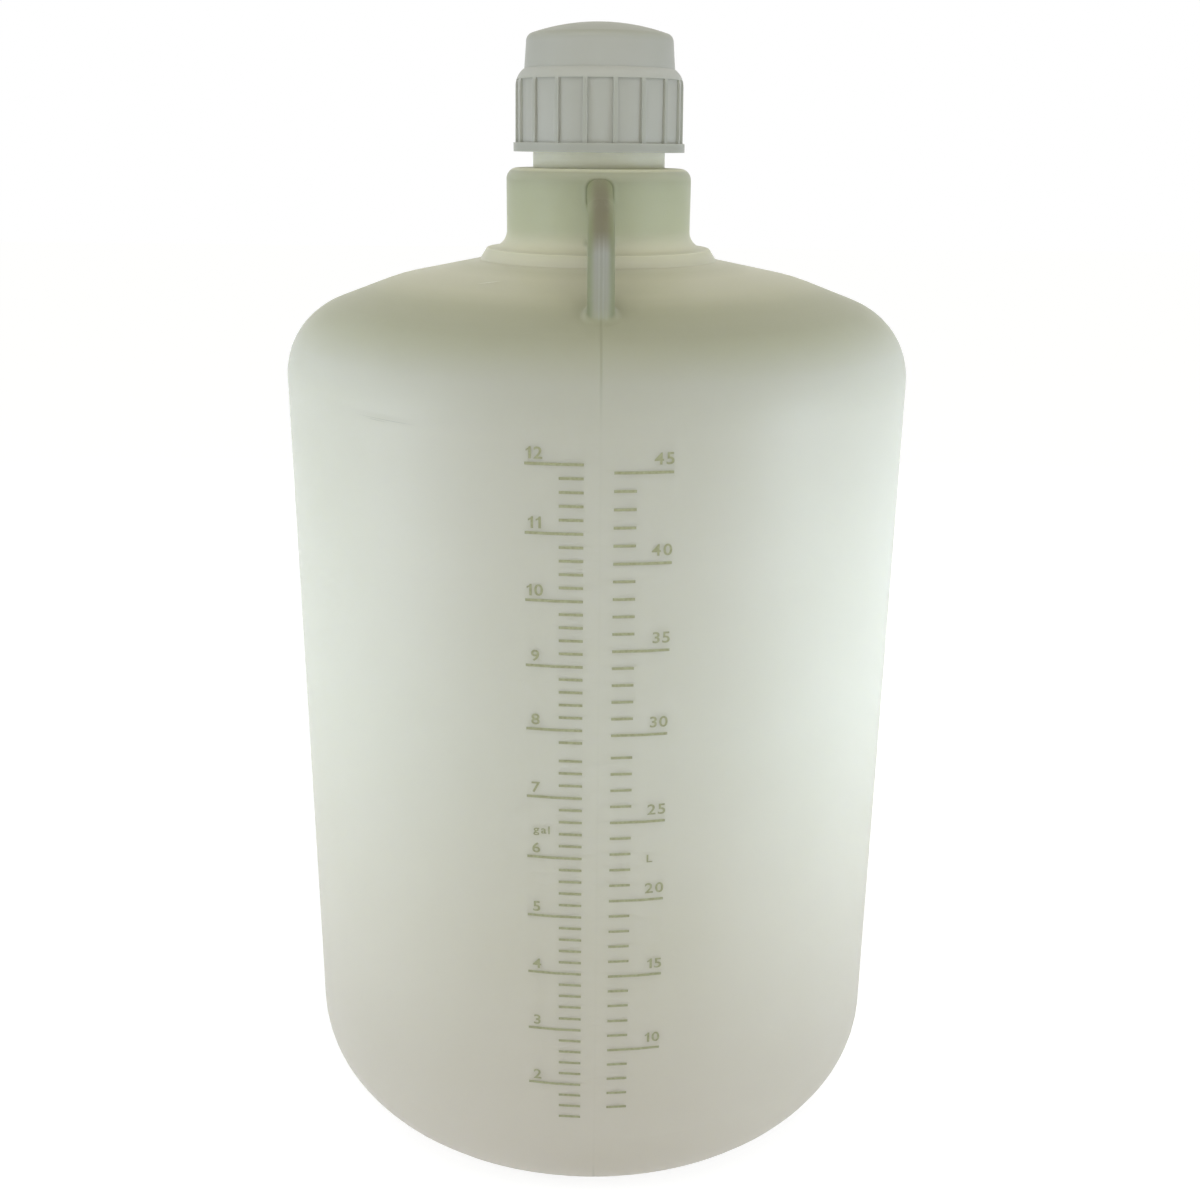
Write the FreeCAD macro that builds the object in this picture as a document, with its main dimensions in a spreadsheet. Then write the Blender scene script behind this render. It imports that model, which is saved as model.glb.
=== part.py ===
import FreeCAD, Part
import math
import os

import Sketcher

# A large carboy: one blow-moulded vessel with a ribbed screw cap and the
# sealing washer inside the cap. Lengths are in millimetres. The vessel
# stands on Z = 0 with its neck up, its filling scale faces -Y, and its two
# carrying handles lie at -Y and +Y.

# Driving dimensions: name, value, what it measures
DIMENSIONS = [
    ("foot_radius", 184.8, "outside radius of the side wall at the base"),
    ("body_radius", 186.5, "outside radius of the side wall at the shoulder"),
    ("body_height", 507.6, "height where the side and the shoulder would meet"),
    ("base_corner", 57.0, "rounding between the base and the side"),
    ("shoulder_corner", 46.0, "rounding between the side and the shoulder"),
    ("shoulder_slope", 11.6, "slope of the shoulder beside the collar, degrees"),
    ("outer_slope", 20.6, "slope of the outer part of the shoulder, degrees"),
    ("crown_inset", 64.7, "how far inside the side wall the two slopes meet"),
    ("crown_bend", 80.0, "rounding between the two slopes"),
    ("wall", 3.5, "wall of the vessel"),
    ("pushup_radius", 108.0, "radius of the dished middle of the base"),
    ("pushup_depth", 12.0, "rise of the dished middle of the base"),
    ("ledge_radius", 70.8, "radius of the small step above the shoulder"),
    ("ledge_step", 6.8, "height of that step"),
    ("ledge_lean", 4.3, "how much narrower the step is at its top"),
    ("ledge_rounding", 1.0, "rounding of the step's edges"),
    ("collar_radius", 54.5, "outside radius of the collar"),
    ("collar_height", 52.4, "height of the collar above the shoulder"),
    ("collar_root", 10.0, "hollow rounding under the collar"),
    ("collar_corner", 6.5, "rounding of the collar's top edge"),
    ("neck_radius", 38.8, "outside radius of the neck, without its thread"),
    ("neck_height", 64.0, "height of the neck above the collar"),
    ("bore_radius", 35.0, "radius of the mouth"),
    ("rim_rounding", 0.8, "rounding of the neck's rim"),
    ("grip_width", 14.0, "width of a handle"),
    ("grip_depth", 15.0, "thickness of a handle"),
    ("grip_corner", 5.5, "rounding along a handle"),
    ("grip_drop", 11.5, "depth of a handle's centre line below the collar's top"),
    ("grip_slope", 8.0, "fall of a handle's upper run, degrees"),
    ("grip_reach", 14.2, "distance of a handle's bend outside the meeting of the two slopes"),
    ("grip_bend", 28.0, "bend radius of a handle"),
    ("grip_foot", 21.2, "distance of a handle's foot outside that meeting"),
    ("grip_root", 4.0, "rounding where a handle joins the vessel"),
    ("thread_pitch", 8.0, "pitch of the screw thread"),
    ("thread_turns", 1.5, "turns of the thread"),
    ("thread_height", 3.4, "height of the thread above its root"),
    ("thread_width", 4.2, "width of the thread at its root"),
    ("thread_crest", 2.0, "width of the thread at its crest"),
    ("thread_start", 21.0, "start of the neck's thread above the collar"),
    ("thread_play", 0.35, "axial play between the two threads"),
    ("thread_gap", 0.5, "radial gap at the crests of the two threads"),
    ("cap_depth", 58.0, "depth of the cap from its rim to its seat"),
    ("cap_height", 71.0, "height of the cap over its dome"),
    ("cap_lip", 5.0, "height of the plain lip round the cap's rim"),
    ("lip_radius", 50.2, "outside radius of that lip"),
    ("skirt_radius", 49.0, "outside radius of the ribbed skirt, at the lip"),
    ("skirt_taper", 0.3, "how much narrower the skirt is at its top"),
    ("skirt_top", 36.0, "height where the skirt starts to round over"),
    ("skirt_corner", 11.7, "rounding at the top of the skirt"),
    ("tier_radius", 43.6, "outside radius of the cap's upper tier, at its foot"),
    ("tier_taper", 1.4, "how much narrower the tier is at its top"),
    ("tier_corner", 4.5, "rounding of the tier's top edge"),
    ("tier_gap", 1.2, "gap between the neck and the tier's bore"),
    ("tier_bore_foot", 43.0, "height in the cap where the tier's bore starts"),
    ("dome_radius", 125.0, "radius of the domed top"),
    ("dome_wall", 3.0, "thickness of the domed top"),
    ("seat_inner", 33.0, "inside radius of the washer's seat in the cap"),
    ("flute_count", 18, "number of flutes round the skirt"),
    ("flute_depth", 1.7, "depth of the flutes"),
    ("flute_top", 39.6, "height where the flutes end"),
    ("rib_width", 2.4, "width of the ribs that stand between the flutes"),
    ("washer_thickness", 3.0, "thickness of the sealing washer"),
    ("washer_inner", 33.8, "inside radius of the sealing washer"),
    ("washer_gap", 0.3, "gap round the washer in the cap"),
]

BITE = 0.6  # how far a thread's root is set into the wall that carries it
NEAR = 0.02  # how close an edge lies to a surface that it is on

doc = FreeCAD.newDocument("carboy")
sheet = doc.addObject("Spreadsheet::Sheet", "Sizes")
for row, (alias, value, meaning) in enumerate(DIMENSIONS, start=1):
    sheet.set(f"A{row}", meaning)
    sheet.set(f"B{row}", str(value))
    sheet.setAlias(f"B{row}", alias)
doc.recompute()


def size(expression):
    """The value of an expression in the sheet's aliases, as a bare number."""
    value = sheet.evalExpression(expression)
    return float(getattr(value, "Value", value))


def bound(expression):
    """The same expression as another object of the document has to write it."""
    for alias, _, _ in DIMENSIONS:
        expression = replace_word(expression, alias, "Sizes." + alias)
    return expression


def replace_word(text, word, other):
    """text with each whole word replaced; a part of a longer name stays."""
    pieces = []
    place = 0
    while True:
        found = text.find(word, place)
        if found < 0:
            return "".join(pieces) + text[place:]
        end = found + len(word)
        before = text[found - 1] if found else " "
        after = text[end] if end < len(text) else " "
        whole = not (before.isalnum() or before in "_.") and not (after.isalnum() or after == "_")
        pieces.append(text[place:found] + (other if whole else word))
        place = end


# Heights and radii that follow from the driving dimensions
CROWN = "(body_radius - crown_inset)"
CROWN_Z = "(body_height + crown_inset * tan(outer_slope * 1deg))"
SHOULDER_EDGE = f"({CROWN_Z} + ({CROWN} - ledge_radius) * tan(shoulder_slope * 1deg))"
COLLAR_TOP = f"({SHOULDER_EDGE} + collar_height)"
RIM = f"({COLLAR_TOP} + neck_height)"
LEDGE_TOP = f"({SHOULDER_EDGE} + ledge_step)"
LEDGE_EDGE = "(ledge_radius - ledge_lean)"
COLLAR_ROOT = f"min(collar_root, 0.85 * ({LEDGE_EDGE} - collar_radius))"
LEDGE_ROUNDING = f"min(ledge_rounding, 0.1 * ({LEDGE_EDGE} - collar_radius))"
DISH_RADIUS = "((pushup_radius^2 + pushup_depth^2) / (2 * pushup_depth))"
COLLAR_BORE = "(collar_radius - wall)"
BETWEEN_SLOPES = "((outer_slope + shoulder_slope) / 2 * 1deg)"
ACROSS_CROWN = "(wall / cos((outer_slope - shoulder_slope) / 2 * 1deg))"
INNER_CROWN = f"({CROWN} - {ACROSS_CROWN} * sin({BETWEEN_SLOPES}))"
INNER_CROWN_Z = f"({CROWN_Z} - {ACROSS_CROWN} * cos({BETWEEN_SLOPES}))"
INNER_SHOULDER = "(body_height + wall * tan(outer_slope * 1deg) - wall / cos(outer_slope * 1deg))"
INNER_LEDGE = "(ledge_radius - wall)"
INNER_LEDGE_Z = f"({SHOULDER_EDGE} + wall * tan(shoulder_slope * 1deg) - wall / cos(shoulder_slope * 1deg))"
INNER_ROOT = f"(0.9 * ({INNER_LEDGE} - ledge_lean - {COLLAR_BORE}))"
SKIRT_BORE = "(neck_radius + thread_height + thread_gap)"
TIER_BORE = "(neck_radius + tier_gap)"
TIER_FOOT = (
    "(skirt_top + sqrt(skirt_corner^2 - (skirt_corner - (skirt_radius - skirt_taper - tier_radius))^2))"
)
TIER_TOP = "(cap_height - dome_radius + sqrt(dome_radius^2 - (tier_radius - tier_taper)^2))"
UNDER_DOME = "(cap_height - dome_radius + sqrt((dome_radius - dome_wall)^2 - seat_inner^2))"
GRIP_REACH = f"({CROWN} + grip_reach)"
GRIP_FOOT_Y = f"({CROWN} + grip_foot)"
GRIP_START_Y = f"({COLLAR_BORE} - wall)"
GRIP_HIGH = f"({COLLAR_TOP} - grip_drop)"
GRIP_CORNER_Z = f"({GRIP_HIGH} - ({GRIP_REACH} - {GRIP_START_Y}) * tan(grip_slope * 1deg))"
GRIP_FOOT_Z = f"({CROWN_Z} - grip_foot * tan(outer_slope * 1deg) - 3 * wall)"
LEG_SLOPE = f"(atan(({GRIP_CORNER_Z} - {GRIP_FOOT_Z}) / ({GRIP_FOOT_Y} - {GRIP_REACH})))"
GRIP_TURN = f"({LEG_SLOPE} - grip_slope * 1deg)"
GRIP_TANGENT = f"(grip_bend * tan({GRIP_TURN} / 2))"
NECK_THREAD_IN_CAP = f"({COLLAR_TOP} + thread_start - {RIM} - washer_thickness + cap_depth)"
THREAD_FLANK = "((thread_width - thread_crest) / 2 / thread_height)"
THREAD_OFFSET = (
    f"(thread_width - (thread_height + thread_gap) * {THREAD_FLANK} + thread_play)"
)
CAP_PLACE = f"({RIM} + washer_thickness - cap_depth)"


def new_body(label):
    body = doc.addObject("PartDesign::Body", label)
    body.Label = label
    return body


def origin_plane(body, role):
    return next(item for item in body.Origin.OriginFeatures if item.Role == role)


def outline(body, name, corners, role="XZ_Plane", arcs=None, rounds=None, closed=True, offset=None):
    """A sketch whose corners are pairs of expressions in the sheet's aliases.

    arcs gives the radius of each piece that is an arc instead of a line, by the number of the
    corner that it starts from. A positive radius bends to the left of the way the outline runs.
    rounds gives the radius of each corner that is rounded. The corner itself stays in the sketch,
    as a construction point where the two lines would meet.
    """
    arcs, rounds = arcs or {}, rounds or {}
    sketch = body.newObject("Sketcher::SketchObject", name)
    sketch.AttachmentSupport = [(origin_plane(body, role), "")]
    sketch.MapMode = "FlatFace"
    offset = offset or {}
    if "Rotation.Angle" in offset:
        # an angle needs its axis first
        turn = FreeCAD.Rotation(FreeCAD.Vector(1, 0, 0), 1)
        sketch.AttachmentOffset = FreeCAD.Placement(FreeCAD.Vector(), turn)
    for path, expression in offset.items():
        sketch.setExpression("AttachmentOffset." + path, bound(expression))
    points = [FreeCAD.Vector(size(x), size(y), 0) for x, y in corners]
    count = len(points)
    touch = {
        number: rounded(points[number], points[number - 1], points[(number + 1) % count], size(radius))
        for number, radius in rounds.items()
    }
    pieces = {}
    for number in range(count if closed else count - 1):
        following = (number + 1) % count
        start = touch[number][1] if number in touch else points[number]
        finish = touch[following][0] if following in touch else points[following]
        if number in arcs:
            pieces[number] = add_arc(sketch, start, finish, size(arcs[number]))
        else:
            pieces[number] = (sketch.addGeometry(Part.LineSegment(start, finish), False), 1, 2)
    for number, corner in enumerate(corners):
        before = pieces.get((number - 1) % count)
        after = pieces.get(number)
        if number in touch:
            start, finish, bend = touch[number]
            arc, arc_start, arc_end = add_arc(sketch, start, finish, bend)
            held, end = sketch.addGeometry(Part.Point(points[number]), True), 1
            sketch.addConstraint(Sketcher.Constraint("Tangent", before[0], before[2], arc, arc_start))
            sketch.addConstraint(Sketcher.Constraint("Tangent", arc, arc_end, after[0], after[1]))
            sketch.addConstraint(Sketcher.Constraint("PointOnObject", held, 1, before[0]))
            sketch.addConstraint(Sketcher.Constraint("PointOnObject", held, 1, after[0]))
            bind(sketch, Sketcher.Constraint("Radius", arc, abs(bend)), rounds[number])
        elif before and after:
            held, end = after[0], after[1]
            sketch.addConstraint(Sketcher.Constraint("Coincident", before[0], before[2], held, end))
        else:
            held, end = (after[0], after[1]) if after else (before[0], before[2])
        for kind, expression in zip(("DistanceX", "DistanceY"), corner):
            bind(sketch, Sketcher.Constraint(kind, -1, 1, held, end, size(expression)), expression)
    for number, expression in arcs.items():
        value = abs(size(expression))
        bind(sketch, Sketcher.Constraint("Radius", pieces[number][0], value), f"abs({expression})")
    sketch.Visibility = False
    doc.recompute()
    return sketch


def rounded(corner, before, after, radius):
    """Where an arc touches the two sides of a corner, and its radius, negative if it turns right."""
    back, ahead = (before - corner).normalize(), (after - corner).normalize()
    reach = radius / math.tan(back.getAngle(ahead) / 2)
    turn = ahead.cross(back).z
    return corner + back * reach, corner + ahead * reach, math.copysign(radius, turn)


def bind(sketch, constraint, expression):
    index = sketch.addConstraint(constraint)
    sketch.setExpression(f"Constraints[{index}]", bound(expression))


def add_arc(sketch, start, finish, radius):
    """The shorter arc between two points, and which of its ends is the start and the finish."""
    chord = finish - start
    to_left = FreeCAD.Vector(-chord.y, chord.x, 0).normalize()
    depth = math.sqrt(radius**2 - (chord.Length / 2) ** 2)
    centre = (start + finish) / 2 + to_left * math.copysign(depth, radius)
    angles = [math.atan2(p.y - centre.y, p.x - centre.x) for p in (start, finish)]
    anticlockwise = radius > 0
    if not anticlockwise:
        angles.reverse()
    circle = Part.Circle(centre, FreeCAD.Vector(0, 0, 1), abs(radius))
    if angles[1] < angles[0]:
        angles[1] += 2 * math.pi
    piece = sketch.addGeometry(Part.ArcOfCircle(circle, *angles), False)
    return (piece, 1, 2) if anticlockwise else (piece, 2, 1)


def turned(body, kind, sketch):
    """A revolution or a groove of a sketch round the body's Z axis."""
    feature = body.newObject("PartDesign::" + kind, kind.lower() + "_of_" + sketch.Name)
    feature.Profile = sketch
    feature.ReferenceAxis = (sketch, ["V_Axis"])
    feature.Angle = 360
    doc.recompute()
    return feature


def wound(body, sketch):
    """A thread: a sketch wound up round the body's Z axis."""
    helix = body.newObject("PartDesign::AdditiveHelix", body.Label + "_thread")
    helix.Profile = sketch
    helix.ReferenceAxis = (sketch, ["V_Axis"])
    helix.Mode = "pitch-turns-angle"
    helix.setExpression("Pitch", bound("thread_pitch * 1mm"))
    helix.setExpression("Turns", bound("thread_turns"))
    doc.recompute()
    return helix


def circles_at(shape, radius, height):
    """The names of the round edges about the Z axis with this radius and height."""
    names = []
    for number, edge in enumerate(shape.Edges, start=1):
        if edge.Degenerated or not isinstance(edge.Curve, Part.Circle):
            continue
        curve = edge.Curve
        near = abs(curve.Radius - size(radius)) < 0.01 and abs(curve.Center.z - size(height)) < 0.01
        if near and math.hypot(curve.Center.x, curve.Center.y) < 0.01:
            names.append(f"Edge{number}")
    return names


def rounding(body, base, radius, edges):
    """A fillet of some edges of the feature before it, bound to the sheet."""
    fillet = body.newObject("PartDesign::Fillet", "rounding")
    fillet.Base = (base, edges)
    fillet.setExpression("Radius", bound(f"({radius}) * 1mm"))
    doc.recompute()
    return fillet


# The outside of the vessel: dished base, straight side, a shoulder of two slopes, a small
# step, then the collar and the plain neck.
def vessel_outside(body):
    corners = [
        ("0", "pushup_depth"),
        ("pushup_radius", "0"),
        ("foot_radius", "0"),
        ("body_radius", "body_height"),
        (CROWN, CROWN_Z),
        ("ledge_radius", SHOULDER_EDGE),
        (LEDGE_EDGE, LEDGE_TOP),
        ("collar_radius", LEDGE_TOP),
        ("collar_radius", COLLAR_TOP),
        ("neck_radius", COLLAR_TOP),
        ("neck_radius", RIM),
        ("0", RIM),
    ]
    sketch = outline(body, "outside", corners, arcs={0: f"-({DISH_RADIUS})"})
    shape = turned(body, "Revolution", sketch)
    for radius, height, bend in [
        ("foot_radius", "0", "base_corner"),
        ("body_radius", "body_height", "shoulder_corner"),
        (CROWN, CROWN_Z, "crown_bend"),
        ("ledge_radius", SHOULDER_EDGE, LEDGE_ROUNDING),
        (LEDGE_EDGE, LEDGE_TOP, LEDGE_ROUNDING),
        ("collar_radius", LEDGE_TOP, COLLAR_ROOT),
        ("collar_radius", COLLAR_TOP, "collar_corner"),
    ]:
        shape = rounding(body, shape, bend, circles_at(shape.Shape, radius, height))
    return shape


# A handle is a straight run out from the collar, a bend and a straight leg down to the shoulder.
# It is drawn towards +Y, with both ends inside the vessel, where the hollow later trims them.
def handle(body):
    slope = "(grip_slope * 1deg)"
    start = (GRIP_START_Y, GRIP_HIGH)
    centre = (
        f"({GRIP_REACH} - {GRIP_TANGENT} * cos({slope}) - grip_bend * sin({slope}))",
        f"({GRIP_CORNER_Z} + {GRIP_TANGENT} * sin({slope}) - grip_bend * cos({slope}))",
    )
    knee = (
        f"({GRIP_REACH} + {GRIP_TANGENT} * cos({LEG_SLOPE}))",
        f"({GRIP_CORNER_Z} - {GRIP_TANGENT} * sin({LEG_SLOPE}))",
    )
    run_length = f"({GRIP_REACH} - {GRIP_START_Y}) / cos({slope}) - {GRIP_TANGENT}"
    leg_length = f"({GRIP_CORNER_Z} - {GRIP_FOOT_Z}) / sin({LEG_SLOPE}) - {GRIP_TANGENT}"
    run = pushed(body, "handle_run", grip_section(body, "run_section", start, slope), run_length)
    section = grip_section(body, "bend_section", centre, slope, "grip_bend")
    bend = body.newObject("PartDesign::Revolution", "handle_bend")
    bend.Profile = section
    bend.ReferenceAxis = (section, ["H_Axis"])
    bend.setExpression("Angle", bound(GRIP_TURN))
    bend.Reversed = True
    doc.recompute()
    leg = pushed(body, "handle_leg", grip_section(body, "leg_section", knee, LEG_SLOPE), leg_length)
    twin = body.newObject("PartDesign::Mirrored", "both_handles")
    twin.Originals = [run, bend, leg]
    twin.MirrorPlane = (origin_plane(body, "XZ_Plane"), [""])
    body.Tip = twin
    doc.recompute()
    return twin


def grip_section(body, name, place, slope, above="0"):
    """A handle's section, drawn across a path that falls at a slope, with its middle above place."""
    wide, deep, corner_cut = "(grip_width / 2)", "(grip_depth / 2)", "grip_corner"
    inner_wide, inner_deep = f"({wide} - {corner_cut})", f"({deep} - {corner_cut})"
    corners = [
        (f"-{inner_wide}", f"{above} - {deep}"),
        (inner_wide, f"{above} - {deep}"),
        (wide, f"{above} - {inner_deep}"),
        (wide, f"{above} + {inner_deep}"),
        (inner_wide, f"{above} + {deep}"),
        (f"-{inner_wide}", f"{above} + {deep}"),
        (f"-{wide}", f"{above} + {inner_deep}"),
        (f"-{wide}", f"{above} - {inner_deep}"),
    ]
    offset = {
        "Base.y": f"{place[1]} * 1mm",
        "Base.z": f"-{place[0]} * 1mm",
        "Rotation.Angle": f"-{slope}",
    }
    arcs = {number: corner_cut for number in (1, 3, 5, 7)}
    return outline(body, name, corners, arcs=arcs, offset=offset)


def pushed(body, name, sketch, length):
    """A pad of a sketch, away from the vessel's axis."""
    pad = body.newObject("PartDesign::Pad", name)
    pad.Profile = sketch
    pad.setExpression("Length", bound(f"({length}) * 1mm"))
    pad.Reversed = True
    doc.recompute()
    return pad


def root_edges(shape, outside):
    """The names of the edges where the handles meet the outside of the vessel."""
    half_width = size("grip_width") / 2 + NEAR
    names = []
    for number, edge in enumerate(shape.Edges, start=1):
        box = edge.BoundBox
        if edge.Degenerated or max(-box.XMin, box.XMax) > half_width:
            continue
        points = [Part.Vertex(point) for point in edge.discretize(5)]
        if all(outside.distToShape(point)[0] < NEAR for point in points):
            names.append(f"Edge{number}")
    return names


# The hollow of the vessel follows the outside at the wall's thickness, with the mouth's bore
# above the collar.
def cavity(body):
    corners = [
        ("0", "pushup_depth + wall"),
        ("pushup_radius", "wall"),
        ("foot_radius - wall", "wall"),
        ("body_radius - wall", INNER_SHOULDER),
        (INNER_CROWN, INNER_CROWN_Z),
        (INNER_LEDGE, INNER_LEDGE_Z),
        (f"{INNER_LEDGE} - ledge_lean", f"{LEDGE_TOP} - wall"),
        (COLLAR_BORE, f"{LEDGE_TOP} - wall"),
        (COLLAR_BORE, f"{COLLAR_TOP} - wall"),
        ("bore_radius", f"{COLLAR_TOP} - wall"),
        ("bore_radius", RIM),
        ("0", RIM),
    ]
    rounds = {
        2: "base_corner - wall",
        3: "shoulder_corner - wall",
        4: "crown_bend - wall",
        7: INNER_ROOT,
        8: "collar_corner - wall",
    }
    sketch = outline(body, "hollow", corners, arcs={0: f"-({DISH_RADIUS})"}, rounds=rounds)
    shape = turned(body, "Groove", sketch)
    for radius in ("neck_radius", "bore_radius"):
        shape = rounding(body, shape, "rim_rounding", circles_at(shape.Shape, radius, RIM))
    return shape


def thread_section(body, root, crest, middle):
    """The section of a thread whose root is set into the wall that carries it."""
    into = f"({root} - {BITE})" if size(crest) > size(root) else f"({root} + {BITE})"
    half = f"(thread_width / 2 + {BITE} * {THREAD_FLANK})"
    tip = "(thread_crest / 2)"
    corners = [
        (into, f"{middle} - {half}"),
        (crest, f"{middle} - {tip}"),
        (crest, f"{middle} + {tip}"),
        (into, f"{middle} + {half}"),
    ]
    return outline(body, body.Label + "_thread_section", corners)


def make_vessel():
    body = new_body("vessel")
    plain = vessel_outside(body)
    shape = handle(body)
    shape = rounding(body, shape, "grip_root", root_edges(shape.Shape, plain.Shape.Shells[0]))
    cavity(body)
    middle = f"({COLLAR_TOP} + thread_start)"
    wound(body, thread_section(body, "neck_radius", "(neck_radius + thread_height)", middle))
    return body


# The cap: a ribbed skirt with a plain lip, a narrower upper tier and a low dome. Its own Z = 0
# is its rim, and the washer's seat lies cap_depth above that.
def make_cap():
    body = new_body("cap")
    corners = [
        ("0", "cap_height"),
        ("0", "cap_height - dome_wall"),
        ("seat_inner", UNDER_DOME),
        ("seat_inner", "cap_depth"),
        (TIER_BORE, "cap_depth"),
        (TIER_BORE, "tier_bore_foot"),
        (SKIRT_BORE, f"tier_bore_foot - ({SKIRT_BORE} - {TIER_BORE})"),
        (SKIRT_BORE, "0"),
        ("lip_radius", "0"),
        ("lip_radius", "cap_lip"),
        ("skirt_radius", "cap_lip"),
        ("skirt_radius - skirt_taper", "skirt_top"),
        ("tier_radius", TIER_FOOT),
        ("tier_radius - tier_taper", TIER_TOP),
    ]
    arcs = {1: "-(dome_radius - dome_wall)", 11: "skirt_corner", 13: "dome_radius"}
    shape = turned(body, "Revolution", outline(body, "cap_section", corners, arcs=arcs))
    rounding(
        body, shape, "tier_corner", circles_at(shape.Shape, "tier_radius - tier_taper", TIER_TOP)
    )
    flutes(body)
    middle = f"({NECK_THREAD_IN_CAP} - {THREAD_OFFSET})"
    wound(body, thread_section(body, SKIRT_BORE, "(neck_radius + thread_gap)", middle))
    return body


# The flutes leave narrow ribs between them, one rib at the front.
def flutes(body):
    floor, beyond = "(skirt_radius - flute_depth)", "(lip_radius + 1)"
    half, rib = "180deg / flute_count", "rib_width / 2"
    corners = []
    for radius, side in ((floor, "-"), (beyond, "-"), (beyond, "+"), (floor, "+")):
        angle = f"(90deg {side} ({half} - asin({rib} / {radius})))"
        corners.append((f"{radius} * cos({angle})", f"{radius} * sin({angle})"))
    sketch = outline(
        body,
        "flute",
        corners,
        role="XY_Plane",
        arcs={1: beyond, 3: f"-{floor}"},
        offset={"Base.z": "cap_lip * 1mm"},
    )
    pocket = body.newObject("PartDesign::Pocket", "first_flute")
    pocket.Profile = sketch
    pocket.setExpression("Length", bound("(flute_top - cap_lip) * 1mm"))
    pocket.Reversed = True
    doc.recompute()
    ring = body.newObject("PartDesign::PolarPattern", "flutes")
    ring.Originals = [pocket]
    ring.Axis = (sketch, ["N_Axis"])
    ring.Angle = 360
    ring.setExpression("Occurrences", bound("flute_count"))
    body.Tip = ring
    doc.recompute()
    return ring


# The washer is a flat ring that lies between the neck's rim and the cap's seat.
def make_washer():
    body = new_body("seal_ring")
    outer = f"({TIER_BORE} - washer_gap)"
    corners = [
        ("washer_inner", "0"),
        (outer, "0"),
        (outer, "washer_thickness"),
        ("washer_inner", "washer_thickness"),
    ]
    turned(body, "Revolution", outline(body, "washer_section", corners))
    return body


vessel = make_vessel()
cap = make_cap()
cap.setExpression("Placement.Base.z", bound(f"{CAP_PLACE} * 1mm"))
seal_ring = make_washer()
seal_ring.setExpression("Placement.Base.z", bound(f"{RIM} * 1mm"))
doc.recompute()

for item in doc.Objects:
    if "Invalid" in item.State or "Error" in item.State:
        raise RuntimeError(f"{item.Label} failed: {item.State}")

PARTS = [vessel, cap, seal_ring]
for item in PARTS:
    shape = item.Shape
    if shape.isNull() or not shape.isValid() or len(shape.Solids) != 1:
        raise RuntimeError(f"{item.Label} is not one valid solid")

os.makedirs("parts", exist_ok=True)
for item in PARTS:
    item.Shape.exportStep(f"parts/{item.Label}.step")
    box = item.Shape.BoundBox
    print(f"{item.Label}: {item.Shape.Volume / 1000:.1f} cm3, Z {box.ZMin:.2f} to {box.ZMax:.2f}")
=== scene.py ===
# %% [markdown]
# # A fifty-litre carboy
# A carboy is a large bottle for a laboratory's liquids. This one is blown from milky
# plastic that lets light through, has two moulded handles and wears a ribbed screw cap.
# Its solids come ready-made and fixed, so this lesson adds what the eye needs: a camera,
# a pale studio, plastics that glow, a printed filling scale and the marks of the mould.

# %% Load the solids
import math

import bmesh
import bpy
from mathutils import Matrix, Vector
from mathutils.bvhtree import BVHTree


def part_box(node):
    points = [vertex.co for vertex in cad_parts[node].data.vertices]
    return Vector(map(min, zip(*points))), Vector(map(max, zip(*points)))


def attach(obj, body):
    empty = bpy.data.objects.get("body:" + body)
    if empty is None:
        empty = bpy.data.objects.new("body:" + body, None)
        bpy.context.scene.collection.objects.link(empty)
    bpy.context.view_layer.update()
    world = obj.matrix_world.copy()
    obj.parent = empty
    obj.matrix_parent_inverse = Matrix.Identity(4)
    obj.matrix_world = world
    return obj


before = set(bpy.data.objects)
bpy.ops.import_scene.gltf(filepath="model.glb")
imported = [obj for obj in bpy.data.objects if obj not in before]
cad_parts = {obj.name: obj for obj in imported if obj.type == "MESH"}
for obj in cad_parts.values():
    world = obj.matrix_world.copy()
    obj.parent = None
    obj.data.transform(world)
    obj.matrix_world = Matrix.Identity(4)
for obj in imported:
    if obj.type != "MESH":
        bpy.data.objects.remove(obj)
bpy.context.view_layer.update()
MM = 0.001
print("solids:", sorted(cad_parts))

# %% [markdown]
# ## The camera
# The photographer stood close, with the lens a little under the cap and tipped down at the
# belly of the bottle. That is why the sides lean together towards the floor. A camera is
# aimed here by its three axes instead of by angles, so the small roll of the photograph
# can be kept, and is then carried a little way round the bottle, because the photograph
# shows the handle right of the axis. A lens length is the picture's focal length in pixels,
# scaled to the sensor.

# %% Place the camera
IMAGE_SIZE = 1200
SENSOR = 36.0
FOCAL_PIXELS = 1420.1
CAMERA_PLACE = Vector((0.0, -875.5, 609.4)) * MM
AROUND = math.radians(-0.65)
PITCH = math.radians(17.875)
PAN = math.radians(0.205)
ROLL = math.radians(0.553)


def aim_camera():
    data = bpy.data.cameras.new("studio_camera")
    data.sensor_width = SENSOR
    data.lens = FOCAL_PIXELS / IMAGE_SIZE * SENSOR
    forward = Vector(
        (math.sin(PAN) * math.cos(PITCH), math.cos(PAN) * math.cos(PITCH), -math.sin(PITCH))
    )
    level = Vector((math.cos(PAN), -math.sin(PAN), 0.0))
    upright = level.cross(forward)
    right = level * math.cos(ROLL) + upright * math.sin(ROLL)
    up = upright * math.cos(ROLL) - level * math.sin(ROLL)
    turn = Matrix((right, up, -forward)).transposed()
    camera = bpy.data.objects.new("studio_camera", data)
    around = Matrix.Rotation(AROUND, 4, "Z")
    camera.matrix_world = around @ Matrix.Translation(CAMERA_PLACE) @ turn.to_4x4()
    bpy.context.scene.collection.objects.link(camera)
    bpy.context.scene.camera = camera
    return camera


camera = aim_camera()
bpy.context.scene.view_settings.view_transform = "Standard"
print("lens:", round(camera.data.lens, 1), "mm")

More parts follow.
